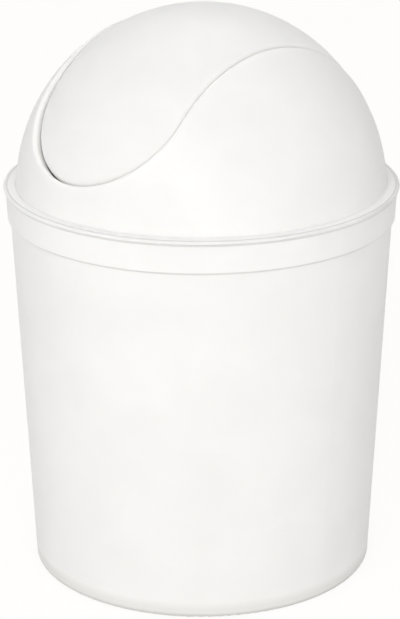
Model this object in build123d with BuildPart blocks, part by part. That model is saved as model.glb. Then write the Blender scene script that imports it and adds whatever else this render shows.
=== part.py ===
from build123d import *
from math import asin, cos, degrees, hypot, radians, sin, sqrt
import os

os.makedirs("parts", exist_ok=True)

# Countertop bin in three mouldings: a tapered can, a domed lid housing that lifts off its mouth,
# and a see-saw flap that hangs in the saddle-shaped opening of the dome.
# Millimetres, +Z up, origin on the table under the middle of the can. The flap turns about an
# axis along X, so its two ends face -Y (front) and +Y (back).

# Can
base_radius = 68.3          # outside of the wall at the table
neck_radius = 75.5          # outside of the wall just under the band
can_height = 156.6          # table to the top of the mouth
band_height = 11.5          # collar round the mouth
band_step = 1.2             # how far the collar stands out from the wall
can_wall = 1.9
base_thickness = 2.4
base_edge_radius = 1.6      # outside corner at the table
base_inner_radius = 4.0     # inside corner between base and wall
foot_width = 5.5            # ring that the can stands on
foot_depth = 1.2            # height of the base above the table inside that ring
mouth_edge_radius = 0.6
band_edge_radius = 0.35

# Lid housing
lid_overhang = 0.75         # flange edge beyond the collar
flange_thickness = 1.4
flange_edge_radius = 0.6
land_width = 4.95           # flat ring between the flange edge and the foot of the dome
dome_drop = 3.1             # centre of the dome below the top of the flange
lid_wall = 1.8
dome_foot_radius = 0.5      # blend between dome and flange
skirt_clearance = 0.3       # between the skirt and the inside of the collar
skirt_wall = 1.6
skirt_end_gap = 1.2         # between the skirt and the ledge inside the can
skirt_lead = 0.6            # chamfer that guides the skirt into the mouth

# Opening through the dome
opening_half_width = 36.4   # sides are flat, the ends are round
sill_height = 14.4          # lowest point of the opening above the flange
lip_radius = 1.1
rim_wall = 1.6              # edge turned in all round the opening
rim_depth = 5.4             # from the face of the dome to the end of that edge

# Flap
flap_recess = 0.1           # top of the flap's face below the dome
flap_tuck = 3.0             # how much tighter than the dome the flap curves
flap_side_gap = 0.6
flap_end_gap = 0.6          # added to the side gap at both ends
flap_wall = 1.8
flap_rim_depth = 4.0        # edge turned in all round
flap_rim_wall = 1.7
flap_edge_radius = 2.4
flap_lean = 1.3             # the free flap settles with its front end a little inward, degrees

# Pivots
pin_radius = 1.75
pin_clearance = 0.06
pin_stub = 0.4              # pin beyond its hanger
pin_roof = 0.35             # between the pin's end and the inside of the dome above it
pin_lead = 0.4
collar_margin = 1.2         # shoulder round the pin
collar_play = 0.3           # between the shoulder and the hanger
ear_margin = 2.4            # flap ear round the pin
hanger_thickness = 2.4
hanger_margin = 2.5         # hanger round the pin
hanger_bite = 0.55          # how much narrower the snap mouth is than the pin
hanger_flare = 1.1          # lead-in at the snap mouth

# Places that follow from the sizes
draft = (neck_radius - base_radius) / (can_height - band_height)
neck_height = can_height - band_height
band_radius = neck_radius + band_step
mouth_radius = band_radius - can_wall
ledge_height = neck_height + can_wall
flange_top = can_height + flange_thickness
lid_radius = band_radius + draft * band_height + lid_overhang
skirt_radius = mouth_radius - skirt_clearance
skirt_bottom = ledge_height + skirt_end_gap
dome_radius = hypot(lid_radius - land_width, dome_drop)
dome_centre = flange_top - dome_drop
dome_top = dome_centre + dome_radius
inner_radius = dome_radius - lid_wall
sill_angle = asin((sill_height + dome_drop) / dome_radius)
opening_angle = sill_angle + asin(opening_half_width / dome_radius)
flap_radius = dome_radius - flap_recess - flap_tuck
flap_centre = dome_centre + flap_tuck
flap_half_width = opening_half_width - flap_side_gap
flap_angle = opening_angle + flap_end_gap / dome_radius
pin_end = opening_half_width + hanger_thickness + pin_stub
pivot_height = dome_centre + sqrt(inner_radius**2 - pin_end**2) - pin_roof - pin_radius
pivot_axis = Axis((0, 0, pivot_height), (1, 0, 0))
socket_radius = pin_radius + pin_clearance


def saddle(half_width, angle):
    """Space over the dome, flat at both sides and round at both ends."""
    reach = dome_radius + lid_radius
    rise = reach * sin(angle)
    run = reach * cos(angle)
    with BuildPart() as space:
        with BuildSketch(Plane.YZ):
            with BuildLine():
                Polyline(
                    (0, dome_centre),
                    (-run, dome_centre + rise),
                    (-run, dome_centre + reach),
                    (run, dome_centre + reach),
                    (run, dome_centre + rise),
                    close=True,
                )
            make_face()
        extrude(amount=half_width, both=True)
        end_plane = Plane((0, 0, dome_centre), x_dir=(1, 0, 0), z_dir=(0, -cos(angle), sin(angle)))
        with BuildSketch(end_plane):
            Circle(half_width)
        extrude(amount=reach)
        mirror(about=Plane.XZ)
    return space.part


def on_ball(shape, height, radius, floor):
    """Edges of the shape, above a floor, whose middles lie on a ball with its centre at a height."""
    centre = Vector(0, 0, height)
    found = ShapeList()
    for edge in shape.edges():
        middle = edge @ 0.5
        if abs((middle - centre).length - radius) < 0.01 and middle.Z > floor:
            found.append(edge)
    return found


# Can: one tapered shell with a collar at its mouth and a foot ring under its base
foot_inner = base_radius - foot_width
inner_base = base_radius + draft * (foot_depth + base_thickness) - can_wall
inner_neck = neck_radius + draft * can_wall - can_wall
with BuildPart() as can_body:
    with BuildSketch(Plane.XZ) as can_profile:
        with BuildLine():
            Polyline(
                (0, foot_depth),
                (foot_inner - foot_depth, foot_depth),
                (foot_inner, 0),
                (base_radius, 0),
                (neck_radius, neck_height),
                (band_radius, neck_height),
                (band_radius + draft * band_height, can_height),
                (mouth_radius, can_height),
                (mouth_radius, ledge_height),
                (inner_neck, ledge_height),
                (inner_base, foot_depth + base_thickness),
                (0, foot_depth + base_thickness),
                close=True,
            )
        make_face()
        corners = can_profile.vertices()
        fillet(corners.sort_by_distance((base_radius, 0))[0], base_edge_radius)
        corners = can_profile.vertices()
        fillet(corners.sort_by_distance((inner_base, foot_depth + base_thickness))[0], base_inner_radius)
        corners = can_profile.vertices()
        fillet(corners.sort_by_distance((band_radius, neck_height))[0], band_edge_radius)
        corners = can_profile.vertices()
        fillet(corners.sort_by_distance((mouth_radius, can_height))[0], mouth_edge_radius)
    revolve(axis=Axis.Z)

# Rim that is turned in all round the opening
with BuildPart() as opening_rim:
    with Locations((0, 0, dome_centre)):
        Sphere(dome_radius - lid_wall / 2)
    add(saddle(opening_half_width + rim_wall, opening_angle), mode=Mode.INTERSECT)
    with Locations((0, 0, dome_centre)):
        Sphere(dome_radius - rim_depth, mode=Mode.SUBTRACT)

# Lid housing: dome, flange and the skirt that drops into the mouth, turned as one section,
# with the opening cut through the dome and the rim
foot_out = lid_radius - land_width
foot_in = sqrt(inner_radius**2 - (can_height - dome_centre) ** 2)
with BuildPart() as lid_housing:
    with BuildSketch(Plane.XZ) as lid_profile:
        with BuildLine():
            Polyline(
                (foot_out, flange_top),
                (lid_radius, flange_top),
                (lid_radius, can_height),
                (skirt_radius, can_height),
                (skirt_radius, skirt_bottom + skirt_lead),
                (skirt_radius - skirt_lead, skirt_bottom),
                (skirt_radius - skirt_wall, skirt_bottom),
                (skirt_radius - skirt_wall, can_height),
                (foot_in, can_height),
            )
            RadiusArc((foot_in, can_height), (0, dome_centre + inner_radius), -inner_radius)
            Line((0, dome_centre + inner_radius), (0, dome_top))
            RadiusArc((0, dome_top), (foot_out, flange_top), dome_radius)
        make_face()
        for corner in ((lid_radius, flange_top), (lid_radius, can_height)):
            fillet(lid_profile.vertices().sort_by_distance(corner)[0], flange_edge_radius)
        fillet(lid_profile.vertices().sort_by_distance((foot_out, flange_top))[0], dome_foot_radius)
    revolve(axis=Axis.Z)
    add(opening_rim.part)
    add(saddle(opening_half_width, opening_angle), mode=Mode.SUBTRACT)
    fillet(on_ball(lid_housing, dome_centre, dome_radius, flange_top + lip_radius), lip_radius)

# Hanger: a clip under each crest of the opening, and the socket with its mouth open downward
# that the flap's pin snaps into
hanger_radius = socket_radius + hanger_margin
mouth_half = pin_radius - hanger_bite
with BuildPart() as hanger:
    with BuildSketch(Plane.YZ.offset(opening_half_width)):
        with Locations((0, pivot_height)):
            Circle(hanger_radius)
        with Locations((0, pivot_height + dome_radius / 2)):
            Rectangle(2 * hanger_radius, dome_radius)
    extrude(amount=hanger_thickness)
    with Locations((0, 0, dome_centre)):
        Sphere(dome_radius - lid_wall / 2, mode=Mode.INTERSECT)
    mirror(about=Plane.YZ)

with BuildPart() as socket:
    with BuildSketch(Plane.YZ.offset(opening_half_width)):
        with Locations((0, pivot_height)):
            Circle(socket_radius)
        with BuildLine():
            Polyline(
                (-mouth_half, pivot_height),
                (-mouth_half, pivot_height - hanger_radius + hanger_flare),
                (-mouth_half - hanger_flare, pivot_height - hanger_radius),
                (mouth_half + hanger_flare, pivot_height - hanger_radius),
                (mouth_half, pivot_height - hanger_radius + hanger_flare),
                (mouth_half, pivot_height),
                close=True,
            )
        make_face()
    extrude(amount=hanger_thickness)
    mirror(about=Plane.YZ)

with lid_housing:
    add(hanger.part)
    add(socket.part, mode=Mode.SUBTRACT)

# Flap: a strip of a smaller ball with its edge turned in, level under the dome at first.
# Its top is almost flush with the dome and its ends sit deeper, so that they clear the sill as it swings
with BuildPart() as flap_hollow:
    with Locations((0, 0, flap_centre)):
        Sphere(flap_radius - flap_wall)
    add(saddle(flap_half_width - flap_rim_wall, flap_angle), mode=Mode.INTERSECT)

ear_radius = pin_radius + ear_margin
with BuildPart() as flap_ear:
    with BuildSketch(Plane.YZ.offset(flap_half_width - flap_rim_wall)):
        with Locations((0, pivot_height)):
            Circle(ear_radius)
    extrude(amount=flap_rim_wall)
    with Locations((0, 0, flap_centre)):
        Sphere(flap_radius - flap_edge_radius, mode=Mode.INTERSECT)
    with BuildSketch(Plane.YZ.offset(flap_half_width)):
        with Locations((0, pivot_height)):
            Circle(pin_radius + collar_margin)
    extrude(amount=flap_side_gap - collar_play)
    with BuildSketch(Plane.YZ.offset(flap_half_width)):
        with Locations((0, pivot_height)):
            Circle(pin_radius)
    extrude(amount=pin_end - flap_half_width)
    chamfer(flap_ear.faces().sort_by(Axis.X)[-1].edges(), pin_lead)
    mirror(about=Plane.YZ)

with BuildPart() as level_flap:
    with Locations((0, 0, flap_centre)):
        Sphere(flap_radius)
    add(saddle(flap_half_width, flap_angle), mode=Mode.INTERSECT)
    fillet(on_ball(level_flap, flap_centre, flap_radius, dome_centre), flap_edge_radius)
    add(flap_hollow.part, mode=Mode.SUBTRACT)
    with Locations((0, 0, flap_centre)):
        Sphere(flap_radius - flap_rim_depth, mode=Mode.SUBTRACT)
    add(flap_ear.part)

# The free flap settles a little off level, turned about its own pins
with BuildPart() as swing_flap:
    add(level_flap.part.rotate(pivot_axis, flap_lean))

can_body.part.label = "can_body"
lid_housing.part.label = "lid_housing"
swing_flap.part.label = "swing_flap"
export_step(can_body.part, "parts/can_body.step")
export_step(lid_housing.part, "parts/lid_housing.step")
export_step(swing_flap.part, "parts/swing_flap.step")
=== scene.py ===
import bpy
import bmesh
from math import cos, radians, sin
from mathutils import Matrix, Vector

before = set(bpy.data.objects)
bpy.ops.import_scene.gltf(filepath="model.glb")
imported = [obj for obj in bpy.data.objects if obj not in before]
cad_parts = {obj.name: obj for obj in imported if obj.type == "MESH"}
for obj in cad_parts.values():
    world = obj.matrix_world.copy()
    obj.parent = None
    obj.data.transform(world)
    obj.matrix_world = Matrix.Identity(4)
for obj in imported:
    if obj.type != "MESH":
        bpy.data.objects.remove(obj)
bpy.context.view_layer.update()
print("frame loaded:", ", ".join(sorted(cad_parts)))


# where things stand around the bin: azimuth goes round from its front (-Y) towards +X

def aroundBin(azimuth, elevation, distance, target):
    a, e = radians(azimuth), radians(elevation)
    away = Vector((sin(a) * cos(e), -cos(a) * cos(e), sin(e)))
    return Vector(target) + away * distance


def facing(place, target, roll=0.0):
    turn = (Vector(target) - place).to_track_quat("-Z", "Y").to_matrix().to_4x4()
    return Matrix.Translation(place) @ turn @ Matrix.Rotation(radians(roll), 4, "Z")


viewSettings = {
    "azimuth": 46.35,
    "elevation": 19.88,
    "distance": 1.0512,
    "target": (0.0, 0.0, 0.1036),
    "lens": 152.06,       # mm
    "roll": -0.15,        # degrees
    "shiftX": -0.0028,
    "nearest": 0.05,      # metres, closer things are not drawn
    "farthest": 50.0,
}


def placeCamera(s):
    data = bpy.data.cameras.new("binCamera")
    data.lens = s["lens"]
    data.shift_x = s["shiftX"]
    data.clip_start = s["nearest"]
    data.clip_end = s["farthest"]
    camera = bpy.data.objects.new("binCamera", data)
    bpy.context.scene.collection.objects.link(camera)
    place = aroundBin(s["azimuth"], s["elevation"], s["distance"], s["target"])
    camera.matrix_world = facing(place, s["target"], s["roll"])
    bpy.context.scene.camera = camera


placeCamera(viewSettings)
print("camera placed")


nodeStep = (200, 180)   # editor units from one column or row of nodes to the next


# the world, the floor and the plastics are all wired up with these

def addNode(tree, kind, place, values=None, **options):
    node = tree.nodes.new(kind)
    node.location = (place[0] * nodeStep[0], -place[1] * nodeStep[1])
    for key, option in options.items():
        setattr(node, key, option)
    for key, value in (values or {}).items():
        node.inputs[key].default_value = value
    return node


def wire(tree, *links):
    for source, sink in links:
        tree.links.new(source, sink)


def newGroup(name, takes, gives):
    group = bpy.data.node_groups.new(name, "ShaderNodeTree")
    for label, kind, value in takes:
        socket = group.interface.new_socket(label, in_out="INPUT", socket_type=kind)
        if value is not None:
            socket.default_value = value
    for label, kind in gives:
        group.interface.new_socket(label, in_out="OUTPUT", socket_type=kind)
    start = group.nodes.new("NodeGroupInput")
    start.location = (-2 * nodeStep[0], 0)
    end = group.nodes.new("NodeGroupOutput")
    end.location = (10 * nodeStep[0], 0)
    return group, start.outputs, end.inputs


def mathNode(tree, operation, place, *values, clamp=False):
    node = addNode(tree, "ShaderNodeMath", place, operation=operation, use_clamp=clamp)
    for i, value in enumerate(values):
        if isinstance(value, (int, float)):
            node.inputs[i].default_value = value
        else:
            tree.links.new(value, node.inputs[i])
    return node.outputs[0]


# 1 for the rays that look at a backdrop, straight or in a gloss or glass, 0 for those that light the object
def seenRays(tree):
    path = addNode(tree, "ShaderNodeLightPath", (-4, 0))
    direct = mathNode(tree, "MAXIMUM", (-3, 1), path.outputs["Is Camera Ray"], path.outputs["Is Glossy Ray"])
    return mathNode(tree, "MAXIMUM", (-2, 2), direct, path.outputs["Is Transmission Ray"])


lightSettings = {
    "worldColour": (1.0, 1.0, 1.0),
    "worldSeen": (1.0, 0.99, 0.975),   # what the camera and the gloss see
    "worldStrength": 0.42,             # what lights the object
    "worldSeenStrength": 1.0,
    "target": (0.0, 0.0, 0.11),
    "lampDistance": 1.8,               # metres
    "lampWidth": 1.6,
    "lampHeight": 1.4,
    "lamps": {
        "softboxFront": {"azimuth": 46.0, "elevation": 12.0, "power": 22.6},
        "softboxLeft": {"azimuth": 20.0, "elevation": 32.0, "power": 5.0},
        "softboxBack": {"azimuth": 226.0, "elevation": 60.0, "power": 6.5},
    },
}


def setLights(s):
    world = bpy.data.worlds.new("paleStudio")
    world.use_nodes = True
    bpy.context.scene.world = world
    tree = world.node_tree
    background = tree.nodes["Background"]
    background.inputs["Color"].default_value = (*s["worldColour"], 1.0)
    background.inputs["Strength"].default_value = s["worldStrength"]
    seenSky = addNode(
        tree, "ShaderNodeBackground", (0, 3),
        {"Color": (*s["worldSeen"], 1.0), "Strength": s["worldSeenStrength"]},
    )
    seen = seenRays(tree)
    swap = addNode(tree, "ShaderNodeMixShader", (2, 1))
    wire(
        tree,
        (seen, swap.inputs[0]),
        (background.outputs[0], swap.inputs[1]),
        (seenSky.outputs[0], swap.inputs[2]),
        (swap.outputs[0], tree.nodes["World Output"].inputs["Surface"]),
    )
    for name, lamp in s["lamps"].items():
        data = bpy.data.lights.new(name, "AREA")
        data.shape = "RECTANGLE"
        data.size = s["lampWidth"]
        data.size_y = s["lampHeight"]
        data.energy = lamp["power"]
        lampObject = bpy.data.objects.new(name, data)
        bpy.context.scene.collection.objects.link(lampObject)
        place = aroundBin(lamp["azimuth"], lamp["elevation"], s["lampDistance"], s["target"])
        lampObject.matrix_world = facing(place, s["target"])


setLights(lightSettings)
print("lights set:", ", ".join(lightSettings["lamps"]))


noiseMiddle = 0.5   # the level that a noise drifts round

skinPattern = {
    "cloud": {"Detail": 3.0, "Roughness": 0.5, "Distortion": 0.4},
    "cloudSpread": {"From Min": 0.32, "From Max": 0.68},   # noise levels that are all light and all deep
    "peel": {"Detail": 1.0, "Roughness": 0.4},
    "drift": {"Detail": 4.0, "Roughness": 0.6},
    "driftPerCloud": 2.3,                                  # patches of gloss across one cloud
}


# the moulded skin: soft clouds left by the flow of the plastic, a fine orange peel, and a gloss that drifts

def makeMouldedSkin(s):
    group, given, out = newGroup(
        "mouldedSkin",
        [
            ("Vector", "NodeSocketVector", None),
            ("Light Tint", "NodeSocketColor", (0.9, 0.9, 0.9, 1.0)),
            ("Deep Tint", "NodeSocketColor", (0.86, 0.86, 0.86, 1.0)),
            ("Cloud Size", "NodeSocketFloat", 0.03),       # metres
            ("Peel Size", "NodeSocketFloat", 0.0022),      # metres
            ("Peel Height", "NodeSocketFloat", 0.000004),  # metres
            ("Gloss", "NodeSocketFloat", 0.35),
            ("Gloss Drift", "NodeSocketFloat", 0.08),
        ],
        [("Color", "NodeSocketColor"), ("Roughness", "NodeSocketFloat"), ("Height", "NodeSocketFloat")],
    )
    cloudScale = mathNode(group, "DIVIDE", (0, 0), 1.0, given["Cloud Size"])
    cloud = addNode(group, "ShaderNodeTexNoise", (1, 0), s["cloud"])
    spread = addNode(group, "ShaderNodeMapRange", (2, 0), s["cloudSpread"])
    tint = addNode(group, "ShaderNodeMix", (4, 0), data_type="RGBA")
    wire(
        group,
        (given["Vector"], cloud.inputs["Vector"]),
        (cloudScale, cloud.inputs["Scale"]),
        (cloud.outputs[0], spread.inputs["Value"]),
        (spread.outputs[0], tint.inputs["Factor"]),
        (given["Light Tint"], tint.inputs["A"]),
        (given["Deep Tint"], tint.inputs["B"]),
        (tint.outputs["Result"], out["Color"]),
    )
    peelScale = mathNode(group, "DIVIDE", (0, 2), 1.0, given["Peel Size"])
    peel = addNode(group, "ShaderNodeTexNoise", (1, 2), s["peel"])
    wire(group, (given["Vector"], peel.inputs["Vector"]), (peelScale, peel.inputs["Scale"]))
    centred = mathNode(group, "SUBTRACT", (2, 2), peel.outputs[0], noiseMiddle)
    height = mathNode(group, "MULTIPLY", (3, 2), centred, given["Peel Height"])
    wire(group, (height, out["Height"]))
    driftScale = mathNode(group, "MULTIPLY", (0, 4), cloudScale, s["driftPerCloud"])
    drift = addNode(group, "ShaderNodeTexNoise", (1, 4), s["drift"])
    wire(group, (given["Vector"], drift.inputs["Vector"]), (driftScale, drift.inputs["Scale"]))
    swing = mathNode(group, "SUBTRACT", (2, 4), drift.outputs[0], noiseMiddle)
    change = mathNode(group, "MULTIPLY", (3, 4), swing, given["Gloss Drift"])
    gloss = mathNode(group, "ADD", (4, 4), change, given["Gloss"], clamp=True)
    wire(group, (gloss, out["Roughness"]))
    return group


scuffPattern = {
    "turns": ((0.4, 0.9, 0.2), (1.3, -0.5, 1.1)),   # radians, one lay of scuffs each
    "stretch": (0.09, 1.0, 1.0),                    # makes the cells long
    "patches": {"Detail": 2.0},
    "patchesPerScuff": 0.55,
    "patchEdge": 8.0,                               # how sharply the patches end
}


# hairline scuffs from hands and cloths: borders of long thin cells, broken up by a slow noise

def makeHairScuffs(s):
    group, given, out = newGroup(
        "hairScuffs",
        [
            ("Vector", "NodeSocketVector", None),
            ("Size", "NodeSocketFloat", 0.012),      # metres between scuffs
            ("Width", "NodeSocketFloat", 0.006),     # share of a cell
            ("Cover", "NodeSocketFloat", 0.45),      # how much of the surface carries them
        ],
        [("Mask", "NodeSocketFloat")],
    )
    scale = mathNode(group, "DIVIDE", (0, 0), 1.0, given["Size"])
    # a border runs on both sides of its line
    wide = mathNode(group, "MULTIPLY", (3, 3), given["Width"], 2.0)
    lines = []
    for row, turn in enumerate(s["turns"]):
        lay = addNode(group, "ShaderNodeMapping", (1, row * 2), {"Rotation": turn, "Scale": s["stretch"]})
        cells = addNode(group, "ShaderNodeTexVoronoi", (2, row * 2), feature="DISTANCE_TO_EDGE")
        thin = addNode(
            group, "ShaderNodeMapRange", (4, row * 2),
            {"From Min": 0.0, "To Min": 1.0, "To Max": 0.0},
        )
        wire(
            group,
            (given["Vector"], lay.inputs["Vector"]),
            (lay.outputs[0], cells.inputs["Vector"]),
            (scale, cells.inputs["Scale"]),
            (cells.outputs["Distance"], thin.inputs["Value"]),
            (wide, thin.inputs["From Max"]),
        )
        lines.append(thin.outputs[0])
    both = mathNode(group, "MAXIMUM", (5, 1), *lines)
    slow = mathNode(group, "MULTIPLY", (1, 5), scale, s["patchesPerScuff"])
    patches = addNode(group, "ShaderNodeTexNoise", (2, 5), s["patches"])
    wire(group, (given["Vector"], patches.inputs["Vector"]), (slow, patches.inputs["Scale"]))
    limit = mathNode(group, "SUBTRACT", (3, 5), 1.0, given["Cover"])
    above = mathNode(group, "SUBTRACT", (4, 5), patches.outputs[0], limit)
    broken = mathNode(group, "MULTIPLY", (5, 5), above, s["patchEdge"], clamp=True)
    mask = mathNode(group, "MULTIPLY", (6, 2), both, broken, clamp=True)
    wire(group, (mask, out["Mask"]))
    return group


# the core side of a round moulding comes out less polished: it lies nearer the axis, or the middle of the
# ball, than the middle of the wall

def makeCoreSide():
    group, given, out = newGroup(
        "coreSide",
        [
            ("Vector", "NodeSocketVector", None),
            ("Middle Height", "NodeSocketFloat", 0.0),   # metres
            ("Roundness", "NodeSocketFloat", 0.0),       # 0 for a straight wall, 1 for a ball
            ("Radius", "NodeSocketFloat", 0.07),         # metres, at the middle height
            ("Taper", "NodeSocketFloat", 0.0),           # radius gained per metre of height
            ("Softness", "NodeSocketFloat", 0.0004),     # metres
        ],
        [("Mask", "NodeSocketFloat")],
    )
    split = addNode(group, "ShaderNodeSeparateXYZ", (0, 0))
    wire(group, (given["Vector"], split.inputs[0]))
    rise = mathNode(group, "SUBTRACT", (1, 1), split.outputs["Z"], given["Middle Height"])
    ballRise = mathNode(group, "MULTIPLY", (2, 1), rise, given["Roundness"])
    joined = addNode(group, "ShaderNodeCombineXYZ", (3, 0))
    length = addNode(group, "ShaderNodeVectorMath", (4, 0), operation="LENGTH")
    wire(
        group,
        (split.outputs["X"], joined.inputs["X"]),
        (split.outputs["Y"], joined.inputs["Y"]),
        (ballRise, joined.inputs["Z"]),
        (joined.outputs[0], length.inputs[0]),
    )
    gained = mathNode(group, "MULTIPLY", (3, 2), rise, given["Taper"])
    wall = mathNode(group, "ADD", (4, 2), gained, given["Radius"])
    inward = mathNode(group, "SUBTRACT", (5, 1), wall, length.outputs["Value"])
    mask = mathNode(group, "DIVIDE", (6, 1), inward, given["Softness"], clamp=True)
    wire(group, (mask, out["Mask"]))
    return group


# a ring round the axis, such as a groove, a band of painted shade or painted light, or a polished land, on
# the face at one height

def makeTurnedRing():
    group, given, out = newGroup(
        "turnedRing",
        [
            ("Vector", "NodeSocketVector", None),
            ("Radius", "NodeSocketFloat", 0.07),       # metres, middle of the ring
            ("Half Width", "NodeSocketFloat", 0.001),  # metres, where the ring is gone
            ("Flat Share", "NodeSocketFloat", 0.0),    # share of the half width that is at full strength
            ("Height", "NodeSocketFloat", 0.1),        # metres
            ("Height Reach", "NodeSocketFloat", 0.0005),   # metres
        ],
        [("Mask", "NodeSocketFloat")],
    )
    split = addNode(group, "ShaderNodeSeparateXYZ", (0, 0))
    wire(group, (given["Vector"], split.inputs[0]))
    joined = addNode(group, "ShaderNodeCombineXYZ", (1, 0))
    length = addNode(group, "ShaderNodeVectorMath", (2, 0), operation="LENGTH")
    wire(
        group,
        (split.outputs["X"], joined.inputs["X"]),
        (split.outputs["Y"], joined.inputs["Y"]),
        (joined.outputs[0], length.inputs[0]),
    )
    offset = mathNode(group, "SUBTRACT", (3, 0), length.outputs["Value"], given["Radius"])
    away = mathNode(group, "ABSOLUTE", (4, 0), offset)
    share = mathNode(group, "DIVIDE", (5, 0), away, given["Half Width"])
    left = mathNode(group, "SUBTRACT", (6, 0), 1.0, share)
    slope = mathNode(group, "SUBTRACT", (5, 1), 1.0, given["Flat Share"])
    ring = mathNode(group, "DIVIDE", (7, 0), left, slope, clamp=True)
    rise = mathNode(group, "SUBTRACT", (3, 3), split.outputs["Z"], given["Height"])
    lift = mathNode(group, "ABSOLUTE", (4, 3), rise)
    near = mathNode(group, "DIVIDE", (5, 3), lift, given["Height Reach"])
    # full within its reach, gone at twice that
    level = mathNode(group, "SUBTRACT", (6, 3), 2.0, near, clamp=True)
    mask = mathNode(group, "MULTIPLY", (8, 1), ring, level, clamp=True)
    wire(group, (mask, out["Mask"]))
    return group


skinGroup = makeMouldedSkin(skinPattern)
scuffGroup = makeHairScuffs(scuffPattern)
coreGroup = makeCoreSide()
ringGroup = makeTurnedRing()
print("node groups built:", skinGroup.name, scuffGroup.name, coreGroup.name, ringGroup.name)


def placeGroup(tree, group, place, vector, values):
    node = addNode(tree, "ShaderNodeGroup", place, node_tree=group)
    for key, value in values.items():
        node.inputs[key].default_value = value
    tree.links.new(vector, node.inputs["Vector"])
    return node


def whitePlastic(name, s):
    material = bpy.data.materials.new(name)
    material.use_nodes = True
    tree = material.node_tree
    shader = tree.nodes["Principled BSDF"]
    shader.location = (10 * nodeStep[0], 0)
    tree.nodes["Material Output"].location = (12 * nodeStep[0], 0)
    shader.inputs["IOR"].default_value = s["ior"]
    shader.inputs["Diffuse Roughness"].default_value = s["powder"]
    shader.inputs["Specular IOR Level"].default_value = s["shine"]
    shader.inputs["Subsurface Weight"].default_value = s["glow"]
    shader.inputs["Subsurface Radius"].default_value = s["glowReach"]
    shader.inputs["Subsurface Scale"].default_value = s["glowDepth"]
    place = addNode(tree, "ShaderNodeTexCoord", (-1, 1)).outputs["Object"]
    skin = placeGroup(tree, skinGroup, (1, 0), place, s["skin"])
    scuffs = placeGroup(tree, scuffGroup, (1, 2), place, s["scuffs"])
    core = placeGroup(tree, coreGroup, (1, 4), place, s["core"])

    # the touched places carry most of the scuffs: all of them at "to", the least share from "from" on
    parts = addNode(tree, "ShaderNodeSeparateXYZ", (1, 6))
    wire(tree, (place, parts.inputs[0]))
    touch = addNode(
        tree, "ShaderNodeMapRange", (2, 6),
        {"From Min": s["touch"]["from"], "From Max": s["touch"]["to"], "To Min": s["touch"]["least"]},
        interpolation_type="SMOOTHSTEP",
    )
    axis = parts.outputs[s["touch"]["along"]]
    reach = mathNode(tree, "ABSOLUTE", (2, 7), axis) if s["touch"]["bothEnds"] else axis
    wire(tree, (reach, touch.inputs["Value"]))
    marks = mathNode(tree, "MULTIPLY", (3, 3), scuffs.outputs["Mask"], touch.outputs[0])

    # roughness: the skin, the unpolished core side, then the scuffs
    rougher = mathNode(tree, "MULTIPLY", (4, 4), core.outputs["Mask"], s["coreRoughness"])
    base = mathNode(tree, "ADD", (5, 3), skin.outputs["Roughness"], rougher)
    scuffed = mathNode(tree, "MULTIPLY", (4, 5), marks, s["scuffRoughness"])
    roughness = mathNode(tree, "ADD", (6, 3), base, scuffed, clamp=True)

    # colour: scuffs catch a little grey
    shade = addNode(tree, "ShaderNodeMix", (7, 0), data_type="RGBA")
    shade.inputs["B"].default_value = (*s["scuffTint"], 1.0)
    dim = mathNode(tree, "MULTIPLY", (6, 1), marks, s["scuffDepth"])
    wire(tree, (dim, shade.inputs["Factor"]), (skin.outputs["Color"], shade.inputs["A"]))

    # relief: orange peel less the scuffs
    cut = mathNode(tree, "MULTIPLY", (4, 6), marks, s["scuffHeight"])
    height = mathNode(tree, "SUBTRACT", (6, 5), skin.outputs["Height"], cut)

    # turned rings: a tint each, which paints shade, or light on the lid's land, and a cut or a polish where
    # they have one
    colour = shade.outputs["Result"]
    for row, ring in enumerate(s["rings"]):
        band = placeGroup(tree, ringGroup, (6, 8 + row * 2), place, ring["shape"]).outputs["Mask"]
        paintedShading = addNode(tree, "ShaderNodeMix", (8 + row, 0), data_type="RGBA")
        paintedShading.inputs["B"].default_value = (*ring["tint"], 1.0)
        wire(tree, (band, paintedShading.inputs["Factor"]), (colour, paintedShading.inputs["A"]))
        colour = paintedShading.outputs["Result"]
        groove = mathNode(tree, "MULTIPLY", (7, 8 + row * 2), band, ring["depth"])
        height = mathNode(tree, "SUBTRACT", (8, 8 + row * 2), height, groove)
        polish = mathNode(tree, "MULTIPLY", (7, 9 + row * 2), band, ring["polish"])
        roughness = mathNode(tree, "SUBTRACT", (8, 9 + row * 2), roughness, polish, clamp=True)
    bump = addNode(tree, "ShaderNodeBump", (9, 4), {"Strength": 1.0, "Distance": 1.0})
    wire(
        tree,
        (height, bump.inputs["Height"]),
        (colour, shader.inputs["Base Color"]),
        (roughness, shader.inputs["Roughness"]),
        (bump.outputs[0], shader.inputs["Normal"]),
    )
    return material


def dress(node, material):
    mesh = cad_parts[node].data
    mesh.materials.clear()
    mesh.materials.append(material)


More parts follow.
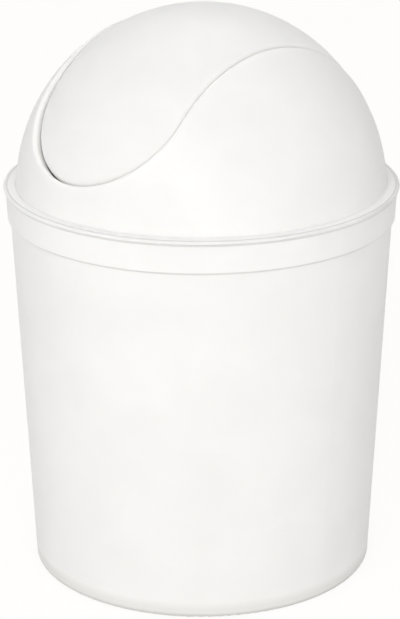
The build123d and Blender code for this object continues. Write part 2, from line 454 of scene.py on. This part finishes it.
canFinish = {
    "ior": 1.49,
    "powder": 1.0,                    # evens out the tone round the wall
    "shine": 0.35,
    "glow": 0.4,                      # share of light that goes through the skin
    "glowDepth": 0.004,               # metres
    "glowReach": (1.0, 0.98, 0.92),   # red goes a little further
    "skin": {
        "Light Tint": (0.90, 0.893, 0.876, 1.0),
        "Deep Tint": (0.87, 0.863, 0.846, 1.0),
        "Cloud Size": 0.03,
        "Peel Size": 0.0024,
        "Peel Height": 0.000006,
        "Gloss": 0.4,
        "Gloss Drift": 0.08,
    },
    "scuffs": {"Size": 0.011, "Width": 0.004, "Cover": 0.5},
    "scuffRoughness": 0.12,
    "scuffTint": (0.78, 0.77, 0.75),
    "scuffDepth": 0.25,
    "scuffHeight": 0.000002,
    # most near the foot
    "touch": {"along": "Z", "bothEnds": False, "from": 0.02, "to": 0.0, "least": 0.25},
    "core": {"Middle Height": 0.0, "Roundness": 0.0, "Radius": 0.0665, "Taper": 0.055, "Softness": 0.0004},
    "coreRoughness": 0.12,
    "rings": [
        {   # the foot, duller, with painted shade darkening it: broad and faint
            "shape": {
                "Radius": 0.067, "Half Width": 0.004, "Flat Share": 0.6,
                "Height": 0.0, "Height Reach": 0.0034,
            },
            "tint": (0.79, 0.78, 0.76),
            "depth": 0.0,
            "polish": -0.08,
        },
        {   # and deeper painted shade on its very edge
            "shape": {
                "Radius": 0.067, "Half Width": 0.004, "Flat Share": 0.6,
                "Height": 0.0, "Height Reach": 0.0011,
            },
            "tint": (0.64, 0.63, 0.61),
            "depth": 0.0,
            "polish": -0.08,
        },
        {   # a line of painted shade under the step of the collar
            "shape": {
                "Radius": 0.076, "Half Width": 0.0013, "Flat Share": 0.7,
                "Height": 0.1449, "Height Reach": 0.00035,
            },
            "tint": (0.74, 0.735, 0.72),
            "depth": 0.0,
            "polish": -0.05,
        },
        {   # and painted shade under where the lid's flange sits on the collar
            "shape": {
                "Radius": 0.0771, "Half Width": 0.0013, "Flat Share": 0.7,
                "Height": 0.1563, "Height Reach": 0.0003,
            },
            "tint": (0.76, 0.755, 0.74),
            "depth": 0.0,
            "polish": -0.05,
        },
    ],
}

dress("can_body", whitePlastic("whiteCanPlastic", canFinish))
print("can dressed")


lidFinish = {
    "ior": 1.49,
    "powder": 1.0,
    "shine": 0.35,
    "glow": 0.4,
    "glowDepth": 0.004,
    "glowReach": (1.0, 0.98, 0.92),
    "skin": {
        "Light Tint": (0.90, 0.893, 0.876, 1.0),
        "Deep Tint": (0.872, 0.865, 0.848, 1.0),
        "Cloud Size": 0.024,
        "Peel Size": 0.0022,
        "Peel Height": 0.000005,
        "Gloss": 0.48,
        "Gloss Drift": 0.08,
    },
    "scuffs": {"Size": 0.010, "Width": 0.004, "Cover": 0.45},
    "scuffRoughness": 0.12,
    "scuffTint": (0.78, 0.77, 0.75),
    "scuffDepth": 0.2,
    "scuffHeight": 0.000002,
    # most round the flange
    "touch": {"along": "Z", "bothEnds": False, "from": 0.185, "to": 0.155, "least": 0.25},
    "core": {"Middle Height": 0.1549, "Roundness": 1.0, "Radius": 0.0722, "Taper": 0.0, "Softness": 0.0004},
    "coreRoughness": 0.12,
    "rings": [
        {   # the land between the dome's foot and the flange edge, painted lighter against its shade, and more polished
            "shape": {
                "Radius": 0.0752, "Half Width": 0.0019, "Flat Share": 0.7,
                "Height": 0.158, "Height Reach": 0.0004,
            },
            "tint": (0.995, 0.99, 0.975),
            "depth": 0.0,
            "polish": 0.12,
        },
        {   # fine shallow groove just inside the flange edge, with a line of painted shade along it
            "shape": {
                "Radius": 0.0768, "Half Width": 0.0006, "Flat Share": 0.3,
                "Height": 0.158, "Height Reach": 0.0004,
            },
            "tint": (0.74, 0.735, 0.72),
            "depth": 0.00005,
            "polish": 0.0,
        },
    ],
}

dress("lid_housing", whitePlastic("whiteLidPlastic", lidFinish))
print("lid dressed")


flapFinish = {
    "ior": 1.49,
    "powder": 1.0,
    "shine": 0.35,
    "glow": 0.4,
    "glowDepth": 0.004,
    "glowReach": (1.0, 0.98, 0.92),
    "skin": {
        "Light Tint": (0.90, 0.893, 0.876, 1.0),
        "Deep Tint": (0.872, 0.865, 0.848, 1.0),
        "Cloud Size": 0.022,
        "Peel Size": 0.0022,
        "Peel Height": 0.000005,
        "Gloss": 0.4,
        "Gloss Drift": 0.08,
    },
    "scuffs": {"Size": 0.009, "Width": 0.004, "Cover": 0.5},
    "scuffRoughness": 0.14,
    "scuffTint": (0.78, 0.77, 0.75),
    "scuffDepth": 0.22,
    "scuffHeight": 0.000002,
    # most where hands push
    "touch": {"along": "Y", "bothEnds": True, "from": 0.025, "to": 0.055, "least": 0.25},
    "core": {"Middle Height": 0.1579, "Roundness": 1.0, "Radius": 0.0691, "Taper": 0.0, "Softness": 0.0004},
    "coreRoughness": 0.12,
    "rings": [],
}

dress("swing_flap", whitePlastic("whiteFlapPlastic", flapFinish))
print("flap dressed")


floorSettings = {
    "halfWidth": 4.0,                   # metres
    "colour": (0.66, 0.655, 0.645),
    "roughness": 0.8,
    "background": (1.0, 0.99, 0.975),   # what the camera sees where no shadow falls
    "backgroundStrength": 0.885,
    "shadowShare": 0.22,                # how much of the lit floor stays in what the camera sees
}


def makeFloor(s):
    mesh = bpy.data.meshes.new("floor")
    bm = bmesh.new()
    bmesh.ops.create_grid(bm, x_segments=1, y_segments=1, size=s["halfWidth"])
    bm.to_mesh(mesh)
    bm.free()
    floor = bpy.data.objects.new("floor", mesh)
    bpy.context.scene.collection.objects.link(floor)

    material = bpy.data.materials.new("paleFloor")
    material.use_nodes = True
    tree = material.node_tree
    matt = tree.nodes["Principled BSDF"]
    matt.inputs["Base Color"].default_value = (*s["colour"], 1.0)
    matt.inputs["Roughness"].default_value = s["roughness"]
    bright = addNode(
        tree, "ShaderNodeEmission", (0, 3),
        {"Color": (*s["background"], 1.0), "Strength": s["backgroundStrength"]},
    )
    seen = seenRays(tree)
    less = mathNode(tree, "MULTIPLY", (-1, 1), seen, 1.0 - s["shadowShare"])
    lit = addNode(tree, "ShaderNodeMixShader", (2, 1))
    dark = addNode(tree, "ShaderNodeEmission", (0, 4), {"Strength": 0.0})
    glow = addNode(tree, "ShaderNodeMixShader", (2, 3))
    both = addNode(tree, "ShaderNodeAddShader", (3, 2))
    wire(
        tree,
        (less, lit.inputs[0]),
        (matt.outputs[0], lit.inputs[1]),
        (dark.outputs[0], lit.inputs[2]),
        (seen, glow.inputs[0]),
        (dark.outputs[0], glow.inputs[1]),
        (bright.outputs[0], glow.inputs[2]),
        (lit.outputs[0], both.inputs[0]),
        (glow.outputs[0], both.inputs[1]),
        (both.outputs[0], tree.nodes["Material Output"].inputs["Surface"]),
    )
    mesh.materials.append(material)


makeFloor(floorSettings)
print("floor laid")

bpy.context.scene.view_settings.view_transform = "Standard"
